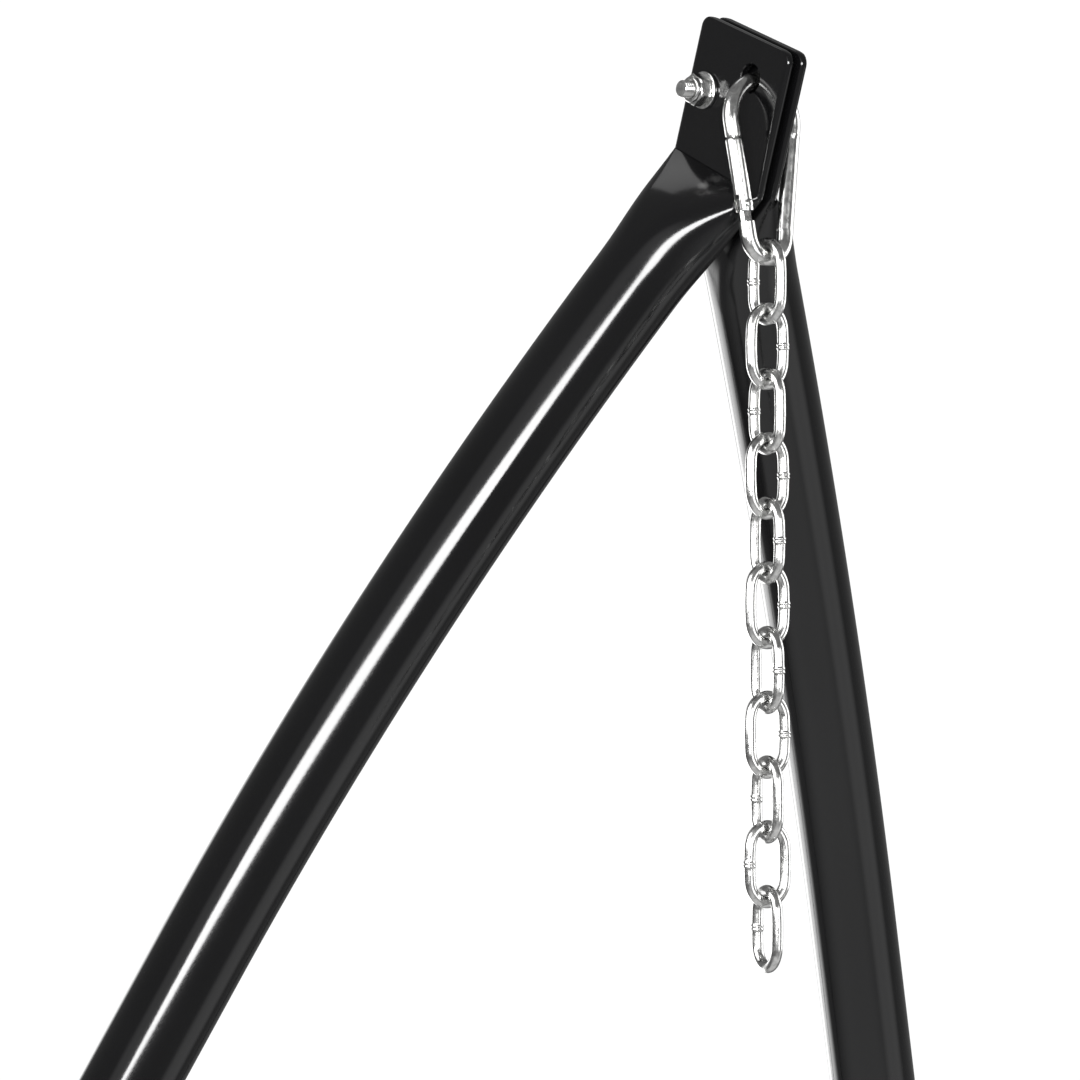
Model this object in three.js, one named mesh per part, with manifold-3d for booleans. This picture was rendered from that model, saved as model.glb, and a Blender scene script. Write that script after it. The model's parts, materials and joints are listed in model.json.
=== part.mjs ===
// A free-standing steel hammock stand: two ends with a pair of bowed legs each, side rails and crossbars.
// Millimetres, +Z up, +X towards the head end, the floor at z = 0.
import * as THREE from "three";
import { mergeVertices } from "three/addons/utils/BufferGeometryUtils.js";
import Module from "manifold-3d";

const wasm = await Module();
wasm.setup();

// Overall layout
const apexHeight = 1108;
const apexReach = 1380; // from the middle of the stand to each hook hole, along X
const gap = 0.3; // clearance between pieces that touch
const tubeRadius = 21;
const railHeight = 33; // axis of the side rails above the floor

// Pressed tab at the top of each leg
const lean = THREE.MathUtils.degToRad(19);
const tabWidth = 63.7;
const tabThickness = 4;
const tabOffset = 4; // from the stand's middle plane to the middle of a tab
const holeToTop = 17.4; // along the outer edge
const topRise = 2; // the top edge is this much higher at the inner edge
const holeToOuterEdge = 22.9;
const holeToCrease = 49.4; // along the outer edge
const creaseRise = 6.2; // the crease is this much higher at the inner edge
const cornerRadius = 5;
const swellLength = 64; // from flat at the crease to the full round tube
const hookHoleRadius = 6.4;

// Run of a leg: bowed from the crease to bowEnd below the hook hole, then straight to the elbow
const upperSlope = new THREE.Vector3(-0.432, 0.648, -1);
const lowerSlope = new THREE.Vector3(-0.317, 0.447, -1);
const bowEnd = 395;
const elbowRadius = 220;
const stubLength = 70;

const neckShares = [0.08, 0.2, 0.35, 0.5, 0.7, 1]; // stations of the swelling neck

// Sleeve joint between leg and rail, and the crossbars
const socketRadius = 19.3;
const spigotRadius = 19;
const spigotLength = 56;
const crossbarRadius = 16;
const crossbarAt = 520;
const crossbarEnd = 24; // the flat end reaches this far past the rail's axis
const footAt = 640;
const footLength = 60;

// Apex bolt, in line with the tabs' thickness
const boltU = -27.7;
const boltV = 13.1;
const shankRadius = 3.95;
const boreRadius = 4.3;
const acrossFlats = 13;
const washerRadius = 8.5;
const washerThickness = 1.6;
const nutHeight = 5.6;
const collarHeight = 1.9;
const threadShows = 5;

// Snap hook
const wireRadius = 3.8;
const hookTilt = THREE.MathUtils.degToRad(6.2); // away from the legs
const hookLean = THREE.MathUtils.degToRad(2.4); // towards the gate's side
const hookPose = new THREE.Euler(-hookLean, -hookTilt, 0);
const wideRadius = 18;
const narrowRadius = 10.7;
const hookTop = -0.7; // centre line of the wire from the hole's axis
const hookSpan = 80.1; // centre line to centre line, top to bottom
const gateFrom = 0.13; // shares of the straight side: top of the gate, its pivot, and the shoulder below
const gateTo = 0.72;
const shoulderAt = 0.875;
const gateFootLength = 3.4; // below the pivot

// Chain
const linkCount = 11;
const linkWire = 2.55;
const linkWidth = 18.4; // centre line
const linkLength = 34.2;
const linkPitch = linkLength - 2 * linkWire - gap;
const linkTwist = THREE.MathUtils.degToRad(-1.2);

const coat = { color: 0x17181a, roughness: 0.12, metalness: 0.0 };
const zinc = { color: 0xc9ccd0, roughness: 0.25, metalness: 1.0 };
const rubber = { color: 0x1c1c1c, roughness: 0.7, metalness: 0.0 };

const stand = new THREE.Group();
const v3 = (x, y, z) => new THREE.Vector3(x, y, z);

function add(parent, name, geometry, look) {
  const mesh = new THREE.Mesh(geometry, new THREE.MeshStandardMaterial(look));
  mesh.name = name;
  parent.add(mesh);
  return mesh;
}

// Closed skin over rings with the same number of points; the first and last ring meet or get a flat cap.
function loft(rings, closed = false) {
  const sides = rings[0].length;
  const points = rings.flat();
  const index = [];
  const count = rings.length;
  for (let i = 0; i < (closed ? count : count - 1); i++) {
    for (let j = 0; j < sides; j++) {
      const a = i * sides + j;
      const b = i * sides + ((j + 1) % sides);
      const c = ((i + 1) % count) * sides + j;
      const d = ((i + 1) % count) * sides + ((j + 1) % sides);
      index.push(a, b, c, b, d, c);
    }
  }
  if (!closed) {
    for (let j = 1; j < sides - 1; j++) {
      const last = (count - 1) * sides;
      index.push(0, j + 1, j);
      index.push(last, last + j, last + j + 1);
    }
  }
  const geometry = new THREE.BufferGeometry().setFromPoints(points);
  geometry.setIndex(index);
  return geometry;
}

// Rings square to a path; the first ring's width axis is carried along without twist.
function sweep(points, widthAxis, section, closed = false) {
  const axis = widthAxis.clone();
  const count = points.length;
  return points.map((p, i) => {
    const before = points[closed ? (i + count - 1) % count : Math.max(i - 1, 0)];
    const after = points[closed ? (i + 1) % count : Math.min(i + 1, count - 1)];
    const along = after.clone().sub(before).normalize();
    axis.addScaledVector(along, -axis.dot(along)).normalize();
    const other = along.clone().cross(axis);
    return section(i).map(([x, y]) => p.clone().addScaledVector(axis, x).addScaledVector(other, y));
  });
}

function circle(radius, sides) {
  return Array.from({ length: sides }, (_, j) => {
    const angle = (2 * Math.PI * (j + 0.5)) / sides;
    return [radius * Math.cos(angle), radius * Math.sin(angle)];
  });
}

// A pressed section: a power below 1 squares the ellipse up, 1 is a true ellipse.
function pressed(halfWidth, halfThickness, power, sides) {
  const bulge = (value) => Math.sign(value) * Math.abs(value) ** power;
  return circle(1, sides).map(([x, y]) => [halfWidth * bulge(x), halfThickness * bulge(y)]);
}

function solid(geometry) {
  const bare = geometry.index ? geometry.toNonIndexed() : geometry.clone();
  bare.deleteAttribute("normal");
  bare.deleteAttribute("uv");
  const merged = mergeVertices(bare, 1e-4);
  return new wasm.Manifold(
    new wasm.Mesh({
      numProp: 3,
      vertProperties: merged.attributes.position.array,
      triVerts: new Uint32Array(merged.index.array),
    }),
  );
}

function geometryOf(body) {
  const mesh = body.getMesh();
  const geometry = new THREE.BufferGeometry();
  geometry.setAttribute("position", new THREE.BufferAttribute(new Float32Array(mesh.vertProperties), 3));
  geometry.setIndex(Array.from(mesh.triVerts));
  return geometry;
}

function cut(geometry, ...tools) {
  return geometryOf(tools.reduce((body, tool) => body.subtract(solid(tool)), solid(geometry)));
}

function join(geometry, ...others) {
  return geometryOf(others.reduce((body, other) => body.add(solid(other)), solid(geometry)));
}

// A cylinder between two points
function rod(from, to, radius, sides = 16) {
  const geometry = new THREE.CylinderGeometry(radius, radius, from.distanceTo(to), sides);
  const along = to.clone().sub(from).normalize();
  geometry.applyQuaternion(new THREE.Quaternion().setFromUnitVectors(v3(0, 1, 0), along));
  const middle = from.clone().add(to).multiplyScalar(0.5);
  return geometry.translate(middle.x, middle.y, middle.z);
}

// A ring from its profile; its axis is +Y and its lower face is at y = 0.
function ring(outer, inner, height, sides = 24) {
  const profile = [
    new THREE.Vector2(inner, 0),
    new THREE.Vector2(outer, 0),
    new THREE.Vector2(outer, height),
    new THREE.Vector2(inner, height),
    new THREE.Vector2(inner, 0),
  ];
  return new THREE.LatheGeometry(profile, sides);
}

// A lock nut standing on y = 0: hexagon, then the round collar that grips the thread.
function lockNut() {
  const hexagon = new THREE.CylinderGeometry(acrossFlats / Math.sqrt(3), acrossFlats / Math.sqrt(3), nutHeight, 6);
  hexagon.translate(0, nutHeight / 2, 0);
  const collar = rod(v3(0, nutHeight / 2, 0), v3(0, nutHeight + collarHeight, 0), acrossFlats / 2 - 0.6, 20);
  const bore = rod(v3(0, -1, 0), v3(0, nutHeight + collarHeight + 1, 0), boreRadius);
  return geometryOf(solid(hexagon).add(solid(collar)).subtract(solid(bore)));
}

// A point of the leaning tab plane: u outwards across the tab, v down along it, from the hook hole
function tabPoint(u, v, y) {
  const x = u * Math.cos(lean) - v * Math.sin(lean);
  const z = -u * Math.sin(lean) - v * Math.cos(lean);
  return v3(x, y, z);
}

// Centre line of a leg below the crease, in the frame of the hook hole, from crease to open end
function legPath() {
  const upper = upperSlope.clone().normalize();
  const lower = lowerSlope.clone().normalize();
  const start = tabPoint(holeToOuterEdge - tabWidth / 2, holeToCrease - creaseRise / 2, tabOffset);
  const along = (point, direction, drop) =>
    point.clone().addScaledVector(direction, (drop + point.z) / -direction.z);
  const bowMiddle = along(start, upper, (bowEnd - start.z) / 2);
  const bowTo = along(bowMiddle, lower, bowEnd);
  const corner = along(bowMiddle, lower, apexHeight - railHeight);
  const inward = v3(-1, 0, 0);
  const tangent = elbowRadius * Math.tan(lower.angleTo(inward) / 2);
  const elbowFrom = corner.clone().addScaledVector(lower, -tangent);
  const elbowTo = corner.clone().addScaledVector(inward, tangent);
  const bow = new THREE.QuadraticBezierCurve3(start, bowMiddle, bowTo);
  const points = neckShares.map((share) => bow.getPointAt((swellLength * share) / bow.getLength()));
  for (const share of [0.4, 0.6, 0.8, 1]) {
    points.push(bow.getPointAt(share));
  }
  points.push(...arcBetween(elbowFrom, corner, elbowTo, 9));
  points.push(elbowTo.clone().addScaledVector(inward, stubLength));
  return points;
}

// Points of the circular arc that is tangent to both sides of a corner
function arcBetween(from, corner, to, steps) {
  const first = from.clone().sub(corner).normalize();
  const second = to.clone().sub(corner).normalize();
  const middle = first.clone().add(second).normalize();
  const half = first.angleTo(second) / 2;
  const tangent = from.distanceTo(corner);
  const centre = corner.clone().addScaledVector(middle, tangent / Math.cos(half));
  const spoke = from.clone().sub(centre);
  const turn = Math.PI - 2 * half;
  const axis = spoke.clone().cross(to.clone().sub(centre)).normalize();
  return Array.from({ length: steps + 1 }, (_, i) =>
    spoke.clone().applyAxisAngle(axis, (turn * i) / steps).add(centre));
}

const legSides = 16;
const wall = (Math.PI * tubeRadius) / 2; // a quarter of the tube's girth, which pressing keeps

// One leg on the +Y side: pressed tab, swelling neck, bowed tube, elbow and socket
function leg() {
  const creaseAxis = tabPoint(tabWidth, creaseRise, 0).normalize();
  const thickness = v3(0, 1, 0);
  const half = tabWidth / 2;
  const middle = holeToOuterEdge - half;
  const flat = (halfWidth, v, rise = 0) =>
    pressed(halfWidth, tabThickness / 2, 0.16, legSides).map(([x, y]) => {
      const along = v - (rise * (half - x)) / tabWidth;
      return tabPoint(middle + x, along, tabOffset).addScaledVector(thickness, -y);
    });
  const rings = [0, 0.15, 0.45, 1].map((share) => {
    const depth = cornerRadius * share;
    const inset = cornerRadius - Math.sqrt(cornerRadius ** 2 - (cornerRadius - depth) ** 2);
    return flat(half - inset, depth - holeToTop, topRise);
  });
  rings.push(flat(half, holeToCrease, creaseRise));
  const path = legPath();
  const section = (i) => {
    const share = neckShares[i] ?? 1;
    const swell = Math.sin((share * Math.PI) / 2);
    const halfThickness = tabThickness / 2 + (tubeRadius - tabThickness / 2) * swell;
    const halfWidth = wall - (Math.PI / 2 - 1) * halfThickness;
    return pressed(halfWidth, halfThickness, Math.min(1, 0.3 + share), legSides);
  };
  rings.push(...sweep(path, creaseAxis, section));
  const end = path[path.length - 1];
  const socketFrom = end.clone().add(v3(spigotLength + gap, 0, 0));
  const screw = sleeveScrewAt();
  return cut(
    loft(rings),
    rod(v3(0, -1, 0), v3(0, 9, 0), hookHoleRadius, 20),
    rod(tabPoint(boltU, boltV, -1), tabPoint(boltU, boltV, 9), boreRadius, 12),
    rod(end.clone().add(v3(-1, 0, 0)), socketFrom, socketRadius, legSides),
    rod(screw, screw.clone().add(v3(0, 0, 60)), 3.4, 12),
  );
}

// Middle of the sleeve joint, where its screw sits
function sleeveScrewAt() {
  const path = legPath();
  return path[path.length - 1].clone().add(v3(spigotLength / 2, 0, 0));
}

// Hexagon bolt along +Y with its head's bearing face at y = 0 and its shank towards -Y
function hexBolt(shank, radius, flats, head) {
  const hexagon = new THREE.CylinderGeometry(flats / Math.sqrt(3), flats / Math.sqrt(3), head, 6);
  hexagon.translate(0, head / 2, 0);
  const body = rod(v3(0, -shank + 1, 0), v3(0, 1, 0), radius, 14);
  const tip = new THREE.CylinderGeometry(radius, radius - 0.9, 1, 14).translate(0, -shank + 0.5, 0);
  return join(hexagon, join(body, tip));
}

function mirrored(geometry) {
  const copy = geometry.clone();
  copy.scale(1, -1, 1);
  const source = copy.index.array;
  const flipped = [];
  for (let i = 0; i < source.length; i += 3) {
    flipped.push(source[i], source[i + 2], source[i + 1]);
  }
  copy.setIndex(flipped);
  return copy;
}

function apex(end, prefix) {
  const right = leg();
  const [onPlusY, onMinusY] = prefix === "head" ? ["right", "left"] : ["left", "right"];
  add(end, `${prefix}_leg_${onPlusY}`, right, coat);
  add(end, `${prefix}_leg_${onMinusY}`, mirrored(right), coat);
  const face = tabOffset + tabThickness / 2 + gap;
  const shank = 2 * face + washerThickness + gap + nutHeight + collarHeight + gap + threadShows;
  const place = (mesh, y) => mesh.position.copy(tabPoint(boltU, boltV, y));
  place(add(end, `${prefix}_apex_bolt`, hexBolt(shank, shankRadius, acrossFlats, 5.3), zinc), face);
  const spacerHeight = 2 * (tabOffset - tabThickness / 2 - gap);
  place(add(end, `${prefix}_apex_spacer`, ring(8, boreRadius, spacerHeight), zinc), -spacerHeight / 2);
  place(
    add(end, `${prefix}_apex_washer`, ring(washerRadius, boreRadius, washerThickness), zinc),
    -face - washerThickness,
  );
  const nut = add(end, `${prefix}_apex_lock_nut`, lockNut().rotateX(Math.PI), zinc);
  place(nut, -face - washerThickness - gap);
}

// The hook's outline in its own Y-Z plane: two round ends and the straight sides that touch both
function hookShape() {
  const top = hookTop - wideRadius;
  const bottom = hookTop - hookSpan + narrowRadius;
  const slant = Math.asin((wideRadius - narrowRadius) / (top - bottom));
  const onWide = (angle) => v3(0, wideRadius * Math.cos(angle), top + wideRadius * Math.sin(angle));
  const onNarrow = (angle) => v3(0, narrowRadius * Math.cos(angle), bottom + narrowRadius * Math.sin(angle));
  const gateSideTop = onWide(Math.PI + slant);
  const gateSideBottom = onNarrow(Math.PI + slant);
  const side = (share) => gateSideTop.clone().lerp(gateSideBottom, share);
  return { slant, onWide, onNarrow, side, bottom: bottom - narrowRadius };
}

function hook(end, prefix) {
  const shape = hookShape();
  const holder = new THREE.Group();
  holder.rotation.copy(hookPose);
  end.add(holder);
  const points = [shape.side(gateFrom)];
  for (let i = 0; i <= 12; i++) {
    points.push(shape.onWide(Math.PI + shape.slant - ((Math.PI + 2 * shape.slant) * i) / 12));
  }
  const narrowTurn = Math.PI - 2 * shape.slant;
  for (let i = 0; i <= 9; i++) {
    points.push(shape.onNarrow(-shape.slant - (narrowTurn * i) / 9));
  }
  points.push(shape.side(shoulderAt));
  const wire = loft(sweep(points, v3(1, 0, 0), () => circle(wireRadius, 10)));
  const pivot = shape.side(gateTo);
  const along = shape.side(0).sub(shape.side(1)).normalize();
  const cross = along.clone().cross(v3(1, 0, 0));
  const plate = (width, from, to, depth) => {
    const box = new THREE.BoxGeometry(width, depth, to - from).translate(0, 0, -(from + to) / 2);
    const basis = new THREE.Matrix4().makeBasis(v3(1, 0, 0), cross.clone().negate(), along.clone().negate());
    return box.applyMatrix4(basis).translate(pivot.x, pivot.y, pivot.z);
  };
  const bore = (radius) => rod(pivot.clone().add(v3(-6, 0, 0)), pivot.clone().add(v3(6, 0, 0)), radius, 10);
  const tongue = plate(2.6, -9, 2.6, 5);
  add(holder, `${prefix}_hook_body`, cut(join(wire, tongue), bore(1.5)), zinc);
  const gateTop = shape.side(gateFrom).addScaledVector(along, -gap);
  const gateFoot = pivot.clone().addScaledVector(along, -gateFootLength);
  const sleeve = rod(gateFoot, gateTop, wireRadius, 10);
  add(holder, `${prefix}_hook_gate`, cut(sleeve, plate(3.5, -5.1, 4.6, 13), bore(1.55)), zinc);
  const rivet = rod(pivot.clone().add(v3(-3.9, 0, 0)), pivot.clone().add(v3(3.9, 0, 0)), 1.2, 10);
  add(holder, `${prefix}_hook_rivet`, rivet, zinc);
}

// One link hanging in its own X-Z plane from the centre line of its top bend
function link() {
  const bend = linkWidth / 2;
  const straight = linkLength - linkWidth;
  const points = [];
  for (let i = 0; i < 8; i++) {
    const angle = (Math.PI * i) / 7;
    points.push(v3(bend * Math.cos(angle), 0, -bend + bend * Math.sin(angle)));
  }
  for (let i = 0; i < 8; i++) {
    const angle = Math.PI + (Math.PI * i) / 7;
    points.push(v3(bend * Math.cos(angle), 0, -bend - straight + bend * Math.sin(angle)));
  }
  return loft(sweep(points, v3(0, 1, 0), () => circle(linkWire, 8), true), true);
}

function chain(end, prefix) {
  const shape = hookShape();
  const hookBottom = v3(0, 0, shape.bottom).applyEuler(hookPose);
  const firstTop = hookBottom.z + wireRadius + linkWire + gap;
  for (let i = 0; i < linkCount; i++) {
    const name = `${prefix}_chain_link_${String(i + 1).padStart(2, "0")}`;
    const mesh = add(end, name, link(), zinc);
    mesh.position.set(hookBottom.x, hookBottom.y, firstTop - i * linkPitch);
    mesh.rotation.z = linkTwist * i + (i % 2) * (Math.PI / 2);
  }
}

// Everything on one side of the stand's long axis that lies on the floor
function base() {
  const screw = sleeveScrewAt();
  const railEnd = apexReach + screw.x - spigotLength / 2;
  const railY = screw.y;
  const railPoint = (x, y) => v3(x, y, railHeight);
  for (const [side, sign] of [["left", -1], ["right", 1]]) {
    const y = sign * railY;
    const body = rod(railPoint(-railEnd + gap, y), railPoint(railEnd - gap, y), tubeRadius, legSides);
    const reach = railEnd + spigotLength;
    const spigot = rod(railPoint(-reach, y), railPoint(reach, y), spigotRadius, legSides);
    const holes = [];
    for (const end of [-1, 1]) {
      const screwX = end * (apexReach + screw.x);
      const crossX = end * crossbarAt;
      holes.push(rod(railPoint(screwX, y), railPoint(screwX, y).setZ(80), 3.4, 12));
      holes.push(rod(v3(crossX, y, 0), v3(crossX, y, 80), boreRadius, 12));
      const at = end > 0 ? "head" : "foot";
      const small = hexBolt(18, 2.8, 10, 4).rotateX(Math.PI / 2);
      add(stand, `${at}_sleeve_screw_${side}`, small, zinc).position.set(screwX, y, railHeight + tubeRadius + gap);
      const rise = 2 * tubeRadius + tabThickness + 3 * gap + nutHeight + collarHeight + 4;
      const long = hexBolt(rise, shankRadius, acrossFlats, 4.5).rotateX(-Math.PI / 2);
      const under = railHeight - tubeRadius - gap;
      add(stand, `${at}_crossbar_bolt_${side}`, long, zinc).position.set(crossX, y, under);
      const onTop = railHeight + tubeRadius + tabThickness + 2 * gap;
      const nut = lockNut().rotateX(Math.PI / 2);
      add(stand, `${at}_crossbar_nut_${side}`, nut, zinc).position.set(crossX, y, onTop);
      add(stand, `${at}_foot_${side}`, foot(), rubber).position.set(end * footAt, y, 0);
    }
    add(stand, `side_rail_${side}`, cut(join(body, spigot), ...holes), coat);
  }
  for (const [at, end] of [["head", 1], ["foot", -1]]) {
    add(stand, `${at}_crossbar`, crossbar(railY), coat).position.set(end * crossbarAt, 0, 0);
  }
}

// A tube across the stand with both ends pressed flat to lie on the rails
function crossbar(railY) {
  const height = railHeight + tubeRadius + gap + tabThickness / 2;
  const reach = railY + crossbarEnd;
  const flatLength = 2 * crossbarEnd + 2;
  const half = [
    [reach, 16, tabThickness / 2, 0.16],
    [reach - 3, 22, tabThickness / 2, 0.16],
    [reach - flatLength, 22, tabThickness / 2, 0.16],
    [reach - flatLength - 20, 19, 8, 0.7],
    [reach - flatLength - 50, crossbarRadius, crossbarRadius, 1],
  ];
  const stations = [...half, ...half.map(([y, ...rest]) => [-y, ...rest]).reverse()];
  const points = stations.map(([y]) => v3(0, y, height));
  const rings = sweep(points, v3(1, 0, 0), (i) => pressed(...stations[i].slice(1), legSides));
  const bolt = (y) => rod(v3(0, y, 0), v3(0, y, 2 * height), boreRadius, 12);
  return cut(loft(rings), bolt(railY), bolt(-railY));
}

// A moulded saddle that clips under a rail; its length runs along X and its base is flat.
function foot() {
  const inner = tubeRadius + gap;
  const outer = inner + 4;
  const outline = new THREE.Shape();
  outline.moveTo(-outer, 0);
  outline.lineTo(outer, 0);
  outline.lineTo(outer, railHeight);
  outline.lineTo(inner, railHeight);
  outline.absarc(0, railHeight, inner, 0, -Math.PI, true);
  outline.lineTo(-outer, railHeight);
  outline.closePath();
  const block = new THREE.ExtrudeGeometry(outline, { depth: footLength, bevelEnabled: false, curveSegments: 12 });
  block.translate(0, 0, -footLength / 2);
  return block.rotateX(Math.PI / 2).rotateZ(Math.PI / 2);
}

for (const [prefix, turn] of [["head", 0], ["foot", Math.PI]]) {
  const end = new THREE.Group();
  end.rotation.z = turn;
  end.position.set(turn ? -apexReach : apexReach, 0, apexHeight);
  stand.add(end);
  apex(end, prefix);
  hook(end, prefix);
  chain(end, prefix);
}
base();

export default stand;
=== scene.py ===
import json
import math

import bmesh
import bpy
from mathutils import Matrix, Vector

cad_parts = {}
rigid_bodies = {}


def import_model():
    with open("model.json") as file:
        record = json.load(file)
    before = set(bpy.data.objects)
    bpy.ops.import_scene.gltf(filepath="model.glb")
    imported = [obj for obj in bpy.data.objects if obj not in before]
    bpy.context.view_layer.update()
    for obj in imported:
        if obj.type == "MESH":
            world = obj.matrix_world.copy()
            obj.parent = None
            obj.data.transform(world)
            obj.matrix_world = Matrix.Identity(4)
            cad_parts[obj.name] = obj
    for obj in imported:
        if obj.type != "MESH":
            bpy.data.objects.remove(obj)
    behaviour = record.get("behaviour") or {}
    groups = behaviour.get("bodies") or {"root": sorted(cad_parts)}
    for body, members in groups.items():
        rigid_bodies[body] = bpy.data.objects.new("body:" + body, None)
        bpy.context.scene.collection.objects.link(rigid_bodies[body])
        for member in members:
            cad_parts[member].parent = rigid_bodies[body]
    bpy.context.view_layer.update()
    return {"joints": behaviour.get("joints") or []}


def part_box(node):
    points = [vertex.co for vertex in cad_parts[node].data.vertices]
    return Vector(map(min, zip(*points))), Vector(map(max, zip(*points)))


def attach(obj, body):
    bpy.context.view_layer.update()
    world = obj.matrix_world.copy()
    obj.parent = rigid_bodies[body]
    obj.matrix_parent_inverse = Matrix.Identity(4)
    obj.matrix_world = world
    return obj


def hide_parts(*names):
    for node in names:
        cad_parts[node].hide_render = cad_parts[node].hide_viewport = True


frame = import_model()
mm = 0.001
joints = {j["name"]: j for j in frame["joints"]}
ends = {"head": 0.0, "foot": math.pi}  # turn of each end about the upright axis
xAxis, yAxis, zAxis = Vector((1, 0, 0)), Vector((0, 1, 0)), Vector((0, 0, 1))

# materials


def linearColour(hexText):
    channels = [int(hexText[i : i + 2], 16) / 255 for i in (1, 3, 5)]
    linear = [c / 12.92 if c <= 0.04045 else ((c + 0.055) / 1.055) ** 2.4 for c in channels]
    return (*linear, 1.0)


def addNode(tree, kind, settings=None, links=None):
    made = tree.nodes.new(kind)
    for key, value in (settings or {}).items():
        if isinstance(key, int) or key in made.inputs:
            made.inputs[key].default_value = value
        else:
            setattr(made, key, value)
    for key, source in (links or {}).items():
        tree.links.new(source, made.inputs[key])
    return made


def newMaterial(name):
    material = bpy.data.materials.new(name)
    material.use_nodes = True
    tree = material.node_tree
    tree.nodes.clear()
    out = addNode(tree, "ShaderNodeOutputMaterial")
    place = addNode(tree, "ShaderNodeTexCoord").outputs["Object"]
    return material, tree, out, place


def colourRamp(tree, source, stops):
    ramp = addNode(tree, "ShaderNodeValToRGB", links={"Fac": source})
    elements = ramp.color_ramp.elements
    while len(elements) < len(stops):
        elements.new(0.5)
    for element, (position, colour) in zip(elements, stops):
        element.position = position
        element.color = colour
    return ramp.outputs["Color"]


def grey(value):
    return (value, value, value, 1.0)


def blackEnamel():
    # baked gloss powder coat on steel tube: near black, wet-looking, faint orange peel in the reflections
    look = {
        "body": "#0b0b0c",
        "worn": "#101011",
        "peelMm": 2.4,
        "peelHeightMm": 0.012,
        "dustMm": 0.5,
        "patchMm": 111,
        "roughLow": 0.08,
        "roughHigh": 0.16,
    }
    material, tree, out, place = newMaterial("gloss black powder coat on steel")
    peel = addNode(
        tree,
        "ShaderNodeTexNoise",
        {"Scale": 1 / (look["peelMm"] * mm), "Detail": 2.0, "Roughness": 0.45},
        {"Vector": place},
    )
    patches = addNode(
        tree,
        "ShaderNodeTexNoise",
        {"Scale": 1 / (look["patchMm"] * mm), "Detail": 4.0},
        {"Vector": place},
    )
    dust = addNode(
        tree,
        "ShaderNodeTexNoise",
        {"Scale": 1 / (look["dustMm"] * mm), "Detail": 1.0},
        {"Vector": place},
    )
    colour = colourRamp(
        tree,
        patches.outputs["Fac"],
        [(0.3, linearColour(look["body"])), (0.75, linearColour(look["worn"]))],
    )
    spread = addNode(
        tree,
        "ShaderNodeMath",
        {"operation": "MULTIPLY"},
        {0: patches.outputs["Fac"], 1: dust.outputs["Fac"]},
    )
    rough = addNode(
        tree,
        "ShaderNodeMapRange",
        {"From Min": 0.1, "From Max": 0.5, "To Min": look["roughLow"], "To Max": look["roughHigh"]},
        {"Value": spread.outputs[0]},
    )
    bump = addNode(
        tree,
        "ShaderNodeBump",
        {"Strength": 0.5, "Distance": look["peelHeightMm"] * mm},
        {"Height": peel.outputs["Fac"]},
    )
    shader = addNode(
        tree,
        "ShaderNodeBsdfPrincipled",
        {"IOR": 1.5},
        {"Base Color": colour, "Roughness": rough.outputs[0], "Normal": bump.outputs[0]},
    )
    tree.links.new(shader.outputs[0], out.inputs["Surface"])
    return material


def brightZinc(name, cloudMm, roughLow, roughHigh, bumpMm):
    # barrel-plated bright zinc over steel: silvery, cloudy, with small dings that break up its reflections
    look = {
        "dull": "#b3b3b2",
        "plain": "#d3d3d2",
        "bright": "#ebebe9",
        "crystalsPerCloud": 2.2,
        "dingsPerCloud": 0.9,
    }
    material, tree, out, place = newMaterial(name)
    clouds = addNode(
        tree,
        "ShaderNodeTexNoise",
        {"Scale": 1 / (cloudMm * mm), "Detail": 5.0, "Roughness": 0.62, "Distortion": 0.6},
        {"Vector": place},
    )
    crystals = addNode(
        tree,
        "ShaderNodeTexVoronoi",
        {"Scale": look["crystalsPerCloud"] / (cloudMm * mm)},
        {"Vector": place},
    )
    dings = addNode(
        tree,
        "ShaderNodeTexNoise",
        {"Scale": look["dingsPerCloud"] / (cloudMm * mm), "Detail": 3.0, "Roughness": 0.5},
        {"Vector": place},
    )
    colour = colourRamp(
        tree,
        clouds.outputs["Fac"],
        [
            (0.30, linearColour(look["dull"])),
            (0.48, linearColour(look["plain"])),
            (0.70, linearColour(look["bright"])),
        ],
    )
    mixed = addNode(
        tree,
        "ShaderNodeMath",
        {"operation": "MULTIPLY_ADD", 1: 0.35},
        {0: crystals.outputs["Distance"], 2: clouds.outputs["Fac"]},
    )
    rough = addNode(
        tree,
        "ShaderNodeMapRange",
        {"From Min": 0.35, "From Max": 0.85, "To Min": roughLow, "To Max": roughHigh},
        {"Value": mixed.outputs[0]},
    )
    bump = addNode(
        tree,
        "ShaderNodeBump",
        {"Strength": 0.55, "Distance": bumpMm * mm},
        {"Height": dings.outputs["Fac"]},
    )
    shader = addNode(
        tree,
        "ShaderNodeBsdfPrincipled",
        {"Metallic": 1.0},
        {"Base Color": colour, "Roughness": rough.outputs[0], "Normal": bump.outputs[0]},
    )
    tree.links.new(shader.outputs[0], out.inputs["Surface"])
    return material


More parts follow.
